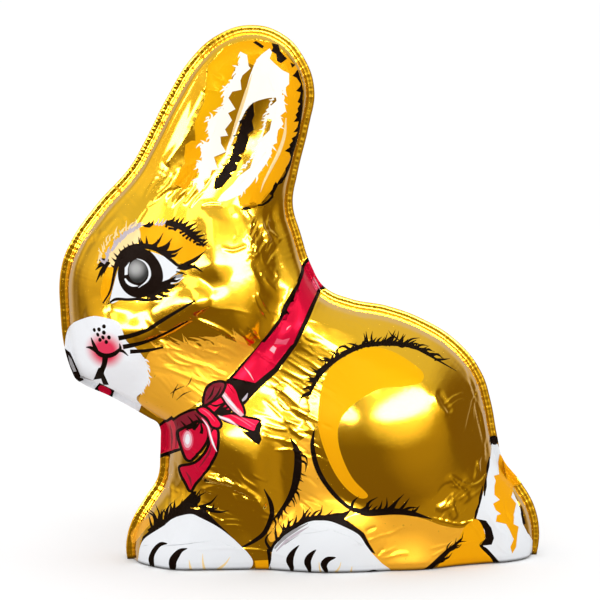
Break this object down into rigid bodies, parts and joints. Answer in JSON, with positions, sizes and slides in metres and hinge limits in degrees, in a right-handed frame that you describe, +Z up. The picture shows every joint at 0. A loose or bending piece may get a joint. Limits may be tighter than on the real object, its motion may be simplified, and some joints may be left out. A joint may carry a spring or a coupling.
{
  "type": "foil-wrapped chocolate bunny",
  "caption": "Sitting chocolate bunny in printed gold foil, with two upright ears pressed as one, a crimped foil fin round its outline and a flat base to stand on.",
  "frame": {"origin": "on the ground, under the middle of the figure's bounding box", "axes": "+Z up, -X the way the bunny faces, Y across the figure, with the crimped fin in the plane y = 0"},
  "size_m": [0.1351, 0.0576, 0.15],
  "materials": {
    "gold_foil": "bright gold-lacquered aluminium foil, lightly wrinkled, with a printed face, ribbon and paws"
  },
  "bodies": {
    "root": {"bunny": "gold_foil"}
  },
  "joints": []
}
